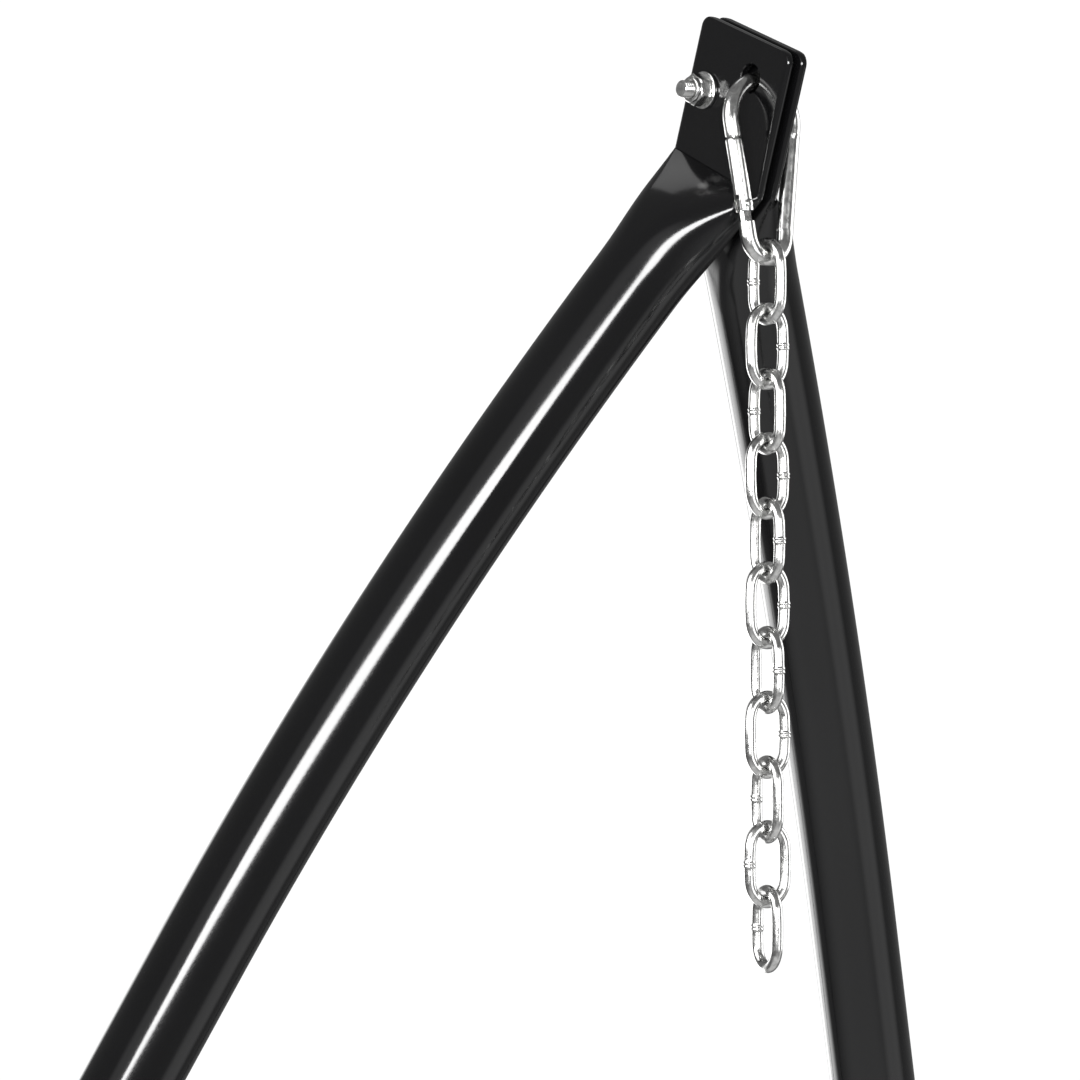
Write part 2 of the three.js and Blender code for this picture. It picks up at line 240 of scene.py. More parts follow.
def mouldedPolypropylene():
    # injection-moulded black polypropylene: satin with a fine spark-eroded grain
    look = {
        "body": "#141414",
        "scuffed": "#222221",
        "grainMm": 0.7,
        "grainHeightMm": 0.03,
        "scuffMm": 16.7,
        "roughLow": 0.38,
        "roughHigh": 0.6,
    }
    material, tree, out, place = newMaterial("satin black moulded polypropylene")
    grain = addNode(
        tree,
        "ShaderNodeTexNoise",
        {"Scale": 1 / (look["grainMm"] * mm), "Detail": 2.0},
        {"Vector": place},
    )
    scuffs = addNode(
        tree,
        "ShaderNodeTexNoise",
        {"Scale": 1 / (look["scuffMm"] * mm), "Detail": 4.0},
        {"Vector": place},
    )
    colour = colourRamp(
        tree,
        scuffs.outputs["Fac"],
        [(0.4, linearColour(look["body"])), (0.75, linearColour(look["scuffed"]))],
    )
    rough = addNode(
        tree,
        "ShaderNodeMapRange",
        {"To Min": look["roughLow"], "To Max": look["roughHigh"]},
        {"Value": scuffs.outputs["Fac"]},
    )
    bump = addNode(
        tree,
        "ShaderNodeBump",
        {"Strength": 0.4, "Distance": look["grainHeightMm"] * mm},
        {"Height": grain.outputs["Fac"]},
    )
    shader = addNode(
        tree,
        "ShaderNodeBsdfPrincipled",
        {"IOR": 1.49},
        {"Base Color": colour, "Roughness": rough.outputs[0], "Normal": bump.outputs[0]},
    )
    tree.links.new(shader.outputs[0], out.inputs["Surface"])
    return material


def paleFloor():
    # rolled matt studio floor paint, almost white
    look = {"body": "#e4e4e3", "pale": "#ededec", "mottleMm": 667, "rough": 0.85}
    material, tree, out, place = newMaterial("matt pale studio floor")
    mottle = addNode(
        tree,
        "ShaderNodeTexNoise",
        {"Scale": 1 / (look["mottleMm"] * mm), "Detail": 3.0},
        {"Vector": place},
    )
    colour = colourRamp(
        tree,
        mottle.outputs["Fac"],
        [(0.3, linearColour(look["body"])), (0.7, linearColour(look["pale"]))],
    )
    shader = addNode(tree, "ShaderNodeBsdfPrincipled", {"Roughness": look["rough"]}, {"Base Color": colour})
    tree.links.new(shader.outputs[0], out.inputs["Surface"])
    return material


enamel = blackEnamel()
# for each zinc: cloud size in mm, lowest and highest roughness, depth of the dings in mm
chainZinc = brightZinc("bright zinc plate on welded chain", 3.2, 0.10, 0.26, 0.05)
hookZinc = brightZinc("bright zinc plate on forged hook", 4.5, 0.09, 0.24, 0.035)
boltZinc = brightZinc("bright zinc plate on cut thread", 3.0, 0.12, 0.24, 0.015)
plastic = mouldedPolypropylene()
print("materials made")

# mesh helpers


def loft(rings, closed=False):
    sides = len(rings[0])
    verts = [p for ring in rings for p in ring]
    faces = []
    count = len(rings)
    for i in range(count if closed else count - 1):
        for j in range(sides):
            a = i * sides + j
            b = i * sides + (j + 1) % sides
            c = ((i + 1) % count) * sides + (j + 1) % sides
            d = ((i + 1) % count) * sides + j
            faces.append((a, b, c, d))
    if not closed:
        faces.append(tuple(reversed(range(sides))))
        faces.append(tuple((count - 1) * sides + j for j in range(sides)))
    return verts, faces


def carriedRings(points, widthAxis, sectionAt, closed=False):
    axis = widthAxis.copy()
    count = len(points)
    rings = []
    for i, p in enumerate(points):
        before = points[(i - 1) % count] if closed else points[max(i - 1, 0)]
        after = points[(i + 1) % count] if closed else points[min(i + 1, count - 1)]
        along = (after - before).normalized()
        axis = (axis - along * axis.dot(along)).normalized()
        other = along.cross(axis)
        rings.append([p + axis * x + other * y for x, y in sectionAt(i)])
    return rings


def circle(radius, sides):
    turns = [2 * math.pi * (j + 0.5) / sides for j in range(sides)]
    return [(radius * math.cos(t), radius * math.sin(t)) for t in turns]


def pressedSection(flat, radius, sides):
    # two flats joined by half rounds, with points evenly spaced along the wall
    girth = 2 * flat + 2 * math.pi * radius
    points = []
    for j in range(sides):
        s = girth * (j + 0.5) / sides
        if s < flat:
            points.append((flat / 2 - s, radius))
        elif s < flat + math.pi * radius:
            t = (s - flat) / radius
            points.append((-flat / 2 - radius * math.sin(t), radius * math.cos(t)))
        elif s < 2 * flat + math.pi * radius:
            points.append((s - flat - math.pi * radius - flat / 2, -radius))
        else:
            t = (s - 2 * flat - math.pi * radius) / radius
            points.append((flat / 2 + radius * math.sin(t), -radius * math.cos(t)))
    return points


def lathe(profile, sides, radiusAt=None):
    # rings about +Z from (radius, height) pairs; radiusAt(radius, height, angle) can shape them
    rings = []
    for radius, height in profile:
        ring = []
        for j in range(sides):
            t = 2 * math.pi * j / sides
            r = radiusAt(radius, height, t) if radiusAt else radius
            ring.append(Vector((r * math.cos(t), r * math.sin(t), height)))
        rings.append(ring)
    return rings


def meshObject(name, verts, faces, matrix=None):
    mesh = bpy.data.meshes.new(name)
    placed = [matrix @ v for v in verts] if matrix else verts
    if matrix and matrix.determinant() < 0:
        faces = [tuple(reversed(f)) for f in faces]
    mesh.from_pydata([tuple(v) for v in placed], [], faces)
    mesh.update()
    obj = bpy.data.objects.new(name, mesh)
    bpy.context.scene.collection.objects.link(obj)
    return obj


def cutWith(obj, *tools):
    for tool in tools:
        change = obj.modifiers.new("cut", "BOOLEAN")
        change.operation = "DIFFERENCE"
        change.solver = "EXACT"
        change.object = tool
    bpy.context.view_layer.update()
    evaluated = obj.evaluated_get(bpy.context.evaluated_depsgraph_get())
    made = bpy.data.meshes.new_from_object(evaluated)
    obj.modifiers.clear()
    obj.data = made
    for tool in tools:
        bpy.data.objects.remove(tool)
    return obj


def finishPiece(obj, material, body, nodes, sharpDegrees=38):
    mesh = obj.data
    mesh.materials.clear()
    mesh.materials.append(material)
    mesh.shade_smooth()
    mesh.set_sharp_from_angle(angle=math.radians(sharpDegrees))
    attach(obj, body)
    if nodes:
        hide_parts(*nodes)
    return obj


def alignZ(point, direction):
    return Matrix.Translation(point) @ direction.to_track_quat("Z", "Y").to_matrix().to_4x4()


def endMatrix(prefix):
    hole = Vector(joints[f"{prefix}_hook_swing"]["pos_m"])
    return Matrix.Translation(hole) @ Matrix.Rotation(ends[prefix], 4, "Z")


# pressed-end legs

leg = {
    "lean": math.radians(19),
    "tubeRadius": 21 * mm,
    "tabThickness": 4 * mm,
    "tabWidth": 63.7 * mm,
    "tabOffset": 4 * mm,
    "holeToTop": 17.4 * mm,
    "topRise": 2 * mm,
    "holeToOuterEdge": 22.9 * mm,
    "holeToCrease": 49.4 * mm,
    "creaseRise": 6.2 * mm,
    "crown": 5.5 * mm,
    "cornerRadius": 5.6 * mm,
    "edgeRound": 0.9 * mm,
    "swellLength": 64 * mm,
    "upperSlope": Vector((-0.432, 0.648, -1)),
    "lowerSlope": Vector((-0.317, 0.447, -1)),
    "bowEnd": 395 * mm,
    "elbowRadius": 220 * mm,
    "stubLength": 70 * mm,
    "hookHole": 6.4 * mm,
    "holeFlare": 0.5 * mm,
    "boltHole": 4.3 * mm,
    "boltU": -27.7 * mm,
    "boltV": 13.1 * mm,
    "sides": 120,
    "ringsAtCrease": (0.8 * mm, 3 * mm),  # spacing, and how far down the neck it is kept
    "ringsDownNeck": 2.5 * mm,
    "ringsDownBow": 14 * mm,
    "elbowSteps": 26,
    "endStep": 0.6 * mm,  # the tube's cut end is this much smaller
}
railLow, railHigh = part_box("side_rail_right")
railHeight = (railLow.z + railHigh.z) / 2


def tabPoint(u, v, y):
    cosine, sine = math.cos(leg["lean"]), math.sin(leg["lean"])
    return Vector((u * cosine - v * sine, y, -u * sine - v * cosine))


def bezier(a, b, c, t):
    return a * (1 - t) ** 2 + b * (2 * t * (1 - t)) + c * t**2


def downTo(point, slope, drop):
    return point + slope * (drop + point.z)


def legPath():
    hole = Vector(joints["head_hook_swing"]["pos_m"])
    middleV = leg["holeToCrease"] - leg["creaseRise"] / 2
    start = tabPoint(leg["holeToOuterEdge"] - leg["tabWidth"] / 2, middleV, leg["tabOffset"])
    middle = downTo(start, leg["upperSlope"], (leg["bowEnd"] - start.z) / 2)
    bowTo = downTo(middle, leg["lowerSlope"], leg["bowEnd"])
    corner = downTo(middle, leg["lowerSlope"], hole.z - railHeight)
    lower = leg["lowerSlope"].normalized()
    tangent = leg["elbowRadius"] * math.tan(lower.angle(-xAxis) / 2)
    elbowFrom, elbowTo = corner - lower * tangent, corner - xAxis * tangent
    fine = [bezier(start, middle, bowTo, i / 400) for i in range(401)]
    creaseSpacing, creaseReach = leg["ringsAtCrease"]
    points, lengths, travelled, target = [], [], 0.0, 0.0  # lengths: how far down the neck each point is
    for a, b in zip(fine, fine[1:]):
        step = (b - a).length
        while target <= travelled + step:
            points.append(a.lerp(b, (target - travelled) / step))
            lengths.append(target)
            if target < creaseReach:
                target += creaseSpacing
            else:
                target += leg["ringsDownNeck"] if target < leg["swellLength"] else leg["ringsDownBow"]
        travelled += step
    straight = elbowFrom - bowTo
    for i in range(1, 12):
        points.append(bowTo + straight * i / 12)
    turn = math.pi - (elbowFrom - corner).angle(elbowTo - corner)
    inwards = ((elbowFrom - corner).normalized() + (elbowTo - corner).normalized()).normalized()
    centre = corner + inwards * (tangent / math.sin(turn / 2))
    spoke = elbowFrom - centre
    axis = spoke.cross(elbowTo - centre).normalized()
    steps = leg["elbowSteps"]
    for i in range(steps + 1):
        points.append(centre + Matrix.Rotation(turn * i / steps, 3, axis) @ spoke)
    end = elbowTo - xAxis * leg["stubLength"]
    for share in (0.5, 0.97, 0.985, 1.0):
        points.append(elbowTo.lerp(end, share))
    return points, lengths


def flatOf(radius):
    return math.pi * (leg["tubeRadius"] - radius)  # pressing keeps the tube's girth


def legRings():
    half = leg["tabThickness"] / 2
    creaseAxis = tabPoint(leg["tabWidth"], leg["creaseRise"], 0).normalized()
    middle = leg["holeToOuterEdge"] - leg["tabWidth"] / 2
    flat = leg["tabWidth"] - leg["tabThickness"]
    rings = []

    def tabRing(v, inset, radius, rise=0.0):
        ring = []
        for x, y in pressedSection(flat - 2 * inset, radius, leg["sides"]):
            along = v - rise * (leg["tabWidth"] / 2 - x) / leg["tabWidth"]
            ring.append(tabPoint(middle + x, along, leg["tabOffset"] - y))
        rings.append(ring)

    corner = leg["cornerRadius"]
    rounding = leg["edgeRound"]
    for i in range(5):  # the pressed lip of the tube's mouth
        t = i / 4 * math.pi / 2
        depth = rounding * (1 - math.cos(t))
        radius = half - rounding * (1 - math.sin(t))
        inset = corner - math.sqrt(max(corner**2 - (corner - depth) ** 2, 0)) + (half - radius)
        tabRing(depth - leg["holeToTop"], min(inset, corner), radius, leg["topRise"])
    for i in range(1, 11):
        t = i / 10 * math.pi / 2
        depth = rounding + (corner - rounding) * (1 - math.cos(t))
        inset = corner - math.sqrt(corner**2 - (corner - depth) ** 2)
        tabRing(depth - leg["holeToTop"], inset, half, leg["topRise"])
    first = corner - leg["holeToTop"]
    last = leg["holeToCrease"]
    for share in (0.2, 0.4, 0.6, 0.8, 0.93, 0.975, 1.0):
        rise = leg["topRise"] + (leg["creaseRise"] - leg["topRise"]) * share
        tabRing(first + (last - first) * share, 0, half, rise)
    points, lengths = legPath()

    def section(i):
        share = min(1.0, lengths[i] / leg["swellLength"]) if i < len(lengths) else 1.0
        radius = half + (leg["tubeRadius"] - half) * math.sin(share * math.pi / 2)
        if i == len(points) - 1:
            radius -= leg["endStep"]
        flatLeft = max(flatOf(radius), 0)
        crown = leg["crown"] * math.sin(share * math.pi) * flatLeft / (flatLeft + radius)
        ring = pressedSection(flatLeft, radius, leg["sides"])
        reach = flatLeft / 2 + radius
        return [(x, y + math.copysign(crown * (1 - (x / reach) ** 2), y)) for x, y in ring]

    carried = carriedRings(points, creaseAxis, section)
    return rings, carried


def holeCutter(place, u, v, radius):
    # a drilled hole through the pressed tab, its two rims broken by a small flare
    flare = leg["holeFlare"]
    low = leg["tabOffset"] - leg["tabThickness"] / 2
    high = leg["tabOffset"] + leg["tabThickness"] / 2
    profile = [
        (radius + 2 * flare, low - 2 * flare),
        (radius + flare, low),
        (radius, low + flare),
        (radius, high - flare),
        (radius + flare, high),
        (radius + 2 * flare, high + 2 * flare),
    ]
    verts, faces = loft(lathe(profile, 64))
    turned = place @ Matrix.Translation(tabPoint(u, v, 0)) @ Matrix.Rotation(-math.pi / 2, 4, "X")
    return meshObject("cutter", verts, faces, turned)


def makeLegs():
    tab, carried = legRings()
    verts, faces = loft(tab + carried[1:])  # the crease's ring belongs to both
    for prefix in ends:
        for side, sign in (("right", 1), ("left", -1)):
            node = f"{prefix}_leg_{side}"
            facing = round(math.cos(ends[prefix]))  # right is the same side of the stand at both ends
            place = endMatrix(prefix) @ Matrix.Diagonal((1, sign * facing, 1, 1))
            tube = meshObject(f"{node}_tube", verts, faces, place)
            hookHole = holeCutter(place, 0, 0, leg["hookHole"])
            boltHole = holeCutter(place, leg["boltU"], leg["boltV"], leg["boltHole"])
            cutWith(tube, hookHole, boltHole)
            finishPiece(tube, enamel, "frame", [node])


makeLegs()
print("legs made")

# snap hooks

hook = {
    "wire": 3.8 * mm,
    "gateRadius": 4.05 * mm,
    "tilt": math.radians(6.2),
    "lean": math.radians(2.4),
    "wide": 18 * mm,
    "narrow": 10.7 * mm,
    "top": -0.7 * mm,
    "span": 80.1 * mm,
    "gateFrom": 0.13,
    "gateTo": 0.72,
    "shoulderAt": 0.87,
    "gateFoot": 3.4 * mm,
    "rivetRadius": 1.6 * mm,
    "rivetHead": 2.2 * mm,
    "rivetShows": 0.55 * mm,
    "slot": 3.4 * mm,
    "slotHeight": 4.4 * mm,
    "tongue": 2.6 * mm,
    "noseSlot": 2.6 * mm,
    "noseTee": 4.8 * mm,  # the wider pocket above the slot, which holds the gate's tee
    "teeStem": 2.0 * mm,
    "tipScale": 0.86,  # the wire's cut ends
    "panelFrom": 0.06,  # the lightly pressed panel on the spine, as shares of its length
    "panelTo": 0.93,
    "panelFlat": 0.9,
    "panelWide": 1.05,
}


def hookOutline():
    top = hook["top"] - hook["wide"]
    bottom = hook["top"] - hook["span"] + hook["narrow"]
    slant = math.asin((hook["wide"] - hook["narrow"]) / (top - bottom))

    def onRound(radius, height, angle):
        return Vector((0, radius * math.cos(angle), height + radius * math.sin(angle)))

    def wide(angle):
        return onRound(hook["wide"], top, angle)

    def narrow(angle):
        return onRound(hook["narrow"], bottom, angle)

    return slant, wide, narrow


def hookMatrix(prefix):
    lean = Matrix.Rotation(-hook["lean"], 4, "X")
    return endMatrix(prefix) @ lean @ Matrix.Rotation(-hook["tilt"], 4, "Y")


def gateLine():
    # the gate's pivot, the nose that it closes on, and the direction from one to the other
    slant, wide, narrow = hookOutline()
    high, low = wide(math.pi + slant), narrow(math.pi + slant)
    return high.lerp(low, hook["gateTo"]), high.lerp(low, hook["gateFrom"]), (high - low).normalized()


def gateBar(name, prefix, width, depth, low, high, bevel=0.0, inwards=0.0):
    # a square bar along the gate, between two heights above its pivot
    pivot, nose, along = gateLine()
    cross = along.cross(xAxis)
    turned = Matrix((xAxis, -cross, -along)).transposed().to_4x4()
    size = Matrix.Diagonal((width, depth, high - low, 1))
    centre = Matrix.Translation(pivot + along * (low + high) / 2 + cross * inwards)
    bm = bmesh.new()
    bmesh.ops.create_cube(bm, size=1)
    bmesh.ops.transform(bm, matrix=centre @ turned @ size, verts=bm.verts)
    if bevel:
        bmesh.ops.bevel(bm, geom=bm.edges[:], offset=bevel, segments=3, affect="EDGES")
    bmesh.ops.transform(bm, matrix=hookMatrix(prefix), verts=bm.verts)
    mesh = bpy.data.meshes.new(name)
    bm.to_mesh(mesh)
    bm.free()
    obj = bpy.data.objects.new(name, mesh)
    bpy.context.scene.collection.objects.link(obj)
    return obj


def hookWire():
    # the wire runs over the top from the nose, down the spine and round to the gate's foot
    slant, wide, narrow = hookOutline()
    pivot, nose, along = gateLine()
    points = [nose, nose + along * 0.4 * mm, nose + along * 1.2 * mm]
    wideTurn = math.pi + 2 * slant
    points += [wide(math.pi + slant - wideTurn * i / 48) for i in range(1, 48)]
    spineStart = len(points)
    spineHigh, spineLow = wide(-slant), narrow(-slant)
    spineShares = [0, 0.045, 0.06, 0.075, 0.1, 0.3, 0.5, 0.7, 0.9, 0.915, 0.925, 0.93, 0.94, 0.97]
    points += [spineHigh.lerp(spineLow, s) for s in spineShares]
    narrowTurn = math.pi - 2 * slant
    points += [narrow(-slant - narrowTurn * i / 32) for i in range(33)]
    gateHigh, gateLow = wide(math.pi + slant), narrow(math.pi + slant)
    shoulder = gateHigh.lerp(gateLow, hook["shoulderAt"])
    points += [gateLow.lerp(shoulder, s) for s in (0.4, 0.8, 0.95, 1.0)]
    softened = {0: hook["tipScale"], 1: 0.97, len(points) - 1: hook["tipScale"]}

    def section(i):
        radius = hook["wire"] * softened.get(i, 1.0)
        index = i - spineStart
        flat = wideness = 1.0
        if 0 <= index < len(spineShares) and hook["panelFrom"] < spineShares[index] < hook["panelTo"]:
            flat, wideness = hook["panelFlat"], hook["panelWide"]
        return [(x * flat, y * wideness) for x, y in circle(radius, 28)]

    return loft(carriedRings(points, xAxis, section))


def makeHookBody(prefix):
    pivot, nose, along = gateLine()
    noseLift = (nose - pivot).length
    body = meshObject(f"{prefix}_hook_wire", *hookWire(), hookMatrix(prefix))
    cuts = []  # the slot for the gate's tee and the pocket above it, both open on the inner side
    for width, low, high in ((hook["noseSlot"], -2 * mm, 3.6 * mm), (hook["noseTee"], 1.8 * mm, 3.8 * mm)):
        cuts.append(gateBar("cutter", prefix, width, 7 * mm, noseLift + low, noseLift + high, 0, 3.2 * mm))
    cutWith(body, *cuts)
    finishPiece(body, hookZinc, f"{prefix}_hook", [f"{prefix}_hook_body"])
    tongue = gateBar(f"{prefix}_hook_tongue", prefix, hook["tongue"], 6.4 * mm, -8.6 * mm, 2.6 * mm, 1.1 * mm)
    finishPiece(tongue, hookZinc, f"{prefix}_hook", [])


def makeGate(prefix):
    # a drawn sleeve with a slot at its foot and a tee at its tip
    pivot, nose, along = gateLine()
    noseLift = (nose - pivot).length
    top, foot, radius = noseLift - 0.35 * mm, -hook["gateFoot"], hook["gateRadius"]
    outline = [
        (radius - 0.5 * mm, foot),
        (radius - 0.1 * mm, foot + 0.2 * mm),
        (radius, foot + 0.6 * mm),
        (radius, 10 * mm),
        (radius, 20 * mm),
        (radius, top - 1.2 * mm),
        (radius - 0.1 * mm, top - 0.4 * mm),
        (radius - 0.45 * mm, top),
    ]
    place = hookMatrix(prefix) @ alignZ(pivot, along)
    sleeve = meshObject(f"{prefix}_hook_gate_sleeve", *loft(lathe(outline, 40)), place)
    cutWith(sleeve, gateBar("cutter", prefix, hook["slot"], 14 * mm, -5 * mm, hook["slotHeight"]))
    finishPiece(sleeve, hookZinc, f"{prefix}_gate", [f"{prefix}_hook_gate"])
    low, high = top - 1 * mm, noseLift + 3.3 * mm
    tee = gateBar(f"{prefix}_hook_gate_tee", prefix, hook["teeStem"], 4.6 * mm, low, high, 0.3 * mm, 1.3 * mm)
    finishPiece(tee, hookZinc, f"{prefix}_gate", [])


def makeRivet(prefix):
    # a plain pin with two set heads
    reach = hook["gateRadius"] + hook["rivetShows"]
    dome = [(0.1 * mm, -reach)]
    for t in (0.5, 1.0, 1.57):
        dome.append((hook["rivetHead"] * math.sin(t), -reach + 0.9 * mm * (1 - math.cos(t))))
    dome.append((hook["rivetRadius"], -reach + 1.1 * mm))
    profile = dome + [(radius, -height) for radius, height in reversed(dome)]
    place = hookMatrix(prefix) @ alignZ(gateLine()[0], xAxis)
    rivet = meshObject(f"{prefix}_hook_rivet_set", *loft(lathe(profile, 24)), place)
    finishPiece(rivet, hookZinc, f"{prefix}_hook", [f"{prefix}_hook_rivet"])


for prefix in ends:
    makeHookBody(prefix)
    makeGate(prefix)
    makeRivet(prefix)
print("snap hooks made")

# chain

chain = {
    "count": 11,
    "wire": 2.55 * mm,
    "width": 18.4 * mm,
    "length": 34.2 * mm,
    "weldHeight": 0.5 * mm,
    "weldReach": 1.3 * mm,
    "weldGroove": 0.55 * mm,
    "oval": 0.3,
    "weldOnRight": (2, 4, 5, 6, 7, 8),  # links whose weld shows on the right, the others on the left
    "twistPerLink": math.radians(-1.2),
    "bendSteps": 30,
    "sideSteps": 64,
    "sides": 22,
}


def makeLink(prefix, number):
    node = f"{prefix}_chain_link_{number:02d}"
    body = f"{prefix}_link_{number:02d}"
    low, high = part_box(node)
    centre = (low + high) / 2
    bend = chain["width"] / 2
    half = (chain["length"] - chain["width"]) / 2
    right = 1 if number in chain["weldOnRight"] else -1
    points = []
    for end in (1, -1):
        for i in range(chain["bendSteps"]):
            t = math.pi * i / chain["bendSteps"] + (0 if end > 0 else math.pi)
            points.append(Vector((bend * math.cos(t), 0, end * half + bend * math.sin(t))))
        for i in range(chain["sideSteps"]):
            share = i / chain["sideSteps"]
            points.append(Vector((-end * bend, 0, end * half * (1 - 2 * share))))
    for p in points:  # real links are bent a little oval, not square-sided
        turn = math.atan2(p.z / (chain["length"] / 2), p.x / bend)
        oval = Vector((bend * math.cos(turn), 0, chain["length"] / 2 * math.sin(turn)))
        p.xyz = p.lerp(oval, chain["oval"])

    def section(i):
        p = points[i]
        if p.x * right < bend * 0.9 or abs(p.z) > 3 * chain["weldReach"]:
            return circle(chain["wire"], chain["sides"])
        bead = math.exp(-((p.z / chain["weldReach"]) ** 4))
        groove = math.exp(-((p.z / chain["weldGroove"]) ** 2))
        radius = chain["wire"] + chain["weldHeight"] * (bead - 0.8 * groove)
        return circle(radius, chain["sides"])

    verts, faces = loft(carriedRings(points, yAxis, section, True), True)
    # the link's own plane follows the joint that hangs the next piece from it
    twist = chain["twistPerLink"] * (number - 1) + (number % 2 == 0) * math.pi / 2
    place = Matrix.Translation(centre) @ Matrix.Rotation(ends[prefix] + twist, 4, "Z")
    link = meshObject(f"{prefix}_welded_link_{number:02d}", verts, faces, place)
    finishPiece(link, chainZinc, body, [node])


for prefix in ends:
    for number in range(1, chain["count"] + 1):
        makeLink(prefix, number)
print("chains made")

# bolts, nuts and washers

fastener = {
    "m8": {"radius": 4 * mm, "pitch": 1.25 * mm, "flats": 13 * mm, "nut": 5.6 * mm, "collar": 1.9 * mm},
    "m6": {"radius": 3 * mm, "pitch": 1.0 * mm, "flats": 10 * mm, "nut": 5 * mm, "collar": 1.8 * mm},
    "washerRadius": 8.5 * mm,
    "washerThickness": 1.6 * mm,
    "spacerRadius": 8 * mm,
    "rim": 0.25 * mm,  # broken edges of washers and spacers
    "gap": 0.1 * mm,  # between faces that bear on each other
    "threadDepth": 0.54,  # share of the pitch
    "tipChamfer": 0.5 * mm,
    "threadShows": 5.2 * mm,
    "boltHead": 5.3 * mm,
    "screwHead": 3.85 * mm,
    "chamferSlope": 1.9,  # height over depth of a hexagon's corner chamfer
}


def hexRadius(flats, angle):
    turned = (angle + math.pi / 6) % (math.pi / 3) - math.pi / 6
    return flats / 2 / math.cos(turned)


def threadedRod(size, start, end, plainTo):
    # +Z from start to end; the thread begins at plainTo and the tip is chamfered
    radius, pitch = size["radius"] * 0.985, size["pitch"]
    depth = fastener["threadDepth"] * pitch
    steps = max(8, int((end - plainTo) / pitch * 10))
    heights = [start] + [plainTo + (end - plainTo) * i / steps for i in range(steps + 1)]

    def radiusAt(base, height, angle):
        if height <= plainTo:
            return base
        phase = (height / pitch - angle / (2 * math.pi)) % 1
        cut = depth * (0.5 + 0.5 * math.cos(2 * math.pi * phase))
        tip = max(0.0, height - (end - fastener["tipChamfer"]))
        return min(base - cut * min(1, (height - plainTo) / pitch), base - tip)

    return loft(lathe([(radius, h) for h in heights], 60, radiusAt))


def hexHead(flats, height):
    steps = [0.0, 0.02, 0.06, 0.5, 0.7, 0.8, 0.88, 0.94, 0.98, 1.0]
    profile = [(flats, s * height) for s in steps]

    def radiusAt(base, h, angle):
        top = flats / 2 * 0.965 + (height - h) * fastener["chamferSlope"]
        underside = flats / 2 * 1.02 + h * 3.0
        return min(hexRadius(flats, angle), top, underside)

    rings = lathe(profile, 96, radiusAt)
    dish = lathe([(flats / 2 * 0.9, height + 0.12 * mm), (flats / 2 * 0.6, height + 0.05 * mm)], 96)
    return loft(rings + dish)


def lockNutMesh(size):
    flats, height, collar = size["flats"], size["nut"], size["collar"]
    slope = fastener["chamferSlope"]
    hexHeights = [0.0, 0.03, 0.08, 0.16, 0.5, 0.8, 0.9, 0.96, 1.0]
    bore = size["radius"] * 0.99
    collarRadius = flats / 2 * 0.93

    def radiusAt(base, h, angle):
        if base > flats * 0.9:
            underside = flats / 2 * 0.97 + h * slope
            top = flats / 2 * 1.02 + (height - h) * slope
            return min(hexRadius(flats, angle), underside, top)
        return base

    rings = [(bore, 0.3 * mm), (bore + 0.8 * mm, 0.0)]
    rings += [(flats, height * s) for s in hexHeights]  # wide enough for radiusAt to cut them to six flats
    rings += [(collarRadius, height + 0.02 * mm), (collarRadius, height + collar * 0.45)]
    for i in range(1, 6):
        t = math.pi / 2 * i / 5
        rounded = collarRadius - 1.1 * mm * (1 - math.cos(t))
        rings.append((rounded, height + collar * (0.45 + 0.55 * math.sin(t))))
    rings += [(bore + 0.5 * mm, height + collar), (bore, height + collar - 0.4 * mm)]
    return loft(lathe(rings, 96, radiusAt))


def ringMesh(outer, inner, height):
    edge = fastener["rim"]
    profile = [
        (inner, edge),
        (inner + edge, 0),
        (outer - edge * 1.5, 0),
        (outer - edge * 0.4, edge * 0.4),
        (outer, edge * 1.5),
        (outer, height - edge * 1.5),
        (outer - edge * 0.4, height - edge * 0.4),
        (outer - edge * 1.5, height),
        (inner + edge, height),
        (inner, height - edge),
    ]
    rings = lathe(profile, 72)
    return loft(rings, True)


def boltPiece(name, shape, place, node):
    made = meshObject(name, *shape, place)
    finishPiece(made, boltZinc, "frame", [node] if node else [], 30)


def makeApexBolt(prefix):
    size = fastener["m8"]
    bore, gap = leg["boltHole"], fastener["gap"]
    face = leg["tabOffset"] + leg["tabThickness"] / 2
    nutFace = face + fastener["washerThickness"] + 3 * gap
    tip = nutFace + size["nut"] + size["collar"] + fastener["threadShows"]
    outwards = endMatrix(prefix) @ Matrix.Translation(tabPoint(leg["boltU"], leg["boltV"], 0))
    outwards = outwards @ Matrix.Rotation(math.pi / 2, 4, "X")  # +Z now points out of the nut's side
    rod = threadedRod(size, -face, tip, nutFace)
    boltPiece(f"{prefix}_apex_bolt_shank", rod, outwards, f"{prefix}_apex_bolt")
    back = outwards @ Matrix.Rotation(math.pi, 4, "X") @ Matrix.Translation((0, 0, face + gap))
    boltPiece(f"{prefix}_apex_bolt_head", hexHead(size["flats"], fastener["boltHead"]), back, None)
    washer = ringMesh(fastener["washerRadius"], bore, fastener["washerThickness"])
    placed = outwards @ Matrix.Translation((0, 0, face + gap))
    boltPiece(f"{prefix}_apex_washer_ring", washer, placed, f"{prefix}_apex_washer")
    spin = Matrix.Translation((0, 0, nutFace)) @ Matrix.Rotation(math.radians(3), 4, "Z")
    boltPiece(f"{prefix}_apex_nut_collared", lockNutMesh(size), outwards @ spin, f"{prefix}_apex_lock_nut")
    inner = leg["tabOffset"] - leg["tabThickness"] / 2 - gap
    spacer = ringMesh(fastener["spacerRadius"], bore, 2 * inner)
    placed = outwards @ Matrix.Translation((0, 0, -inner))
    boltPiece(f"{prefix}_apex_spacer_ring", spacer, placed, f"{prefix}_apex_spacer")


for prefix in ends:
    makeApexBolt(prefix)
print("apex bolts made")

# base: rails, crossbars, feet and their fasteners

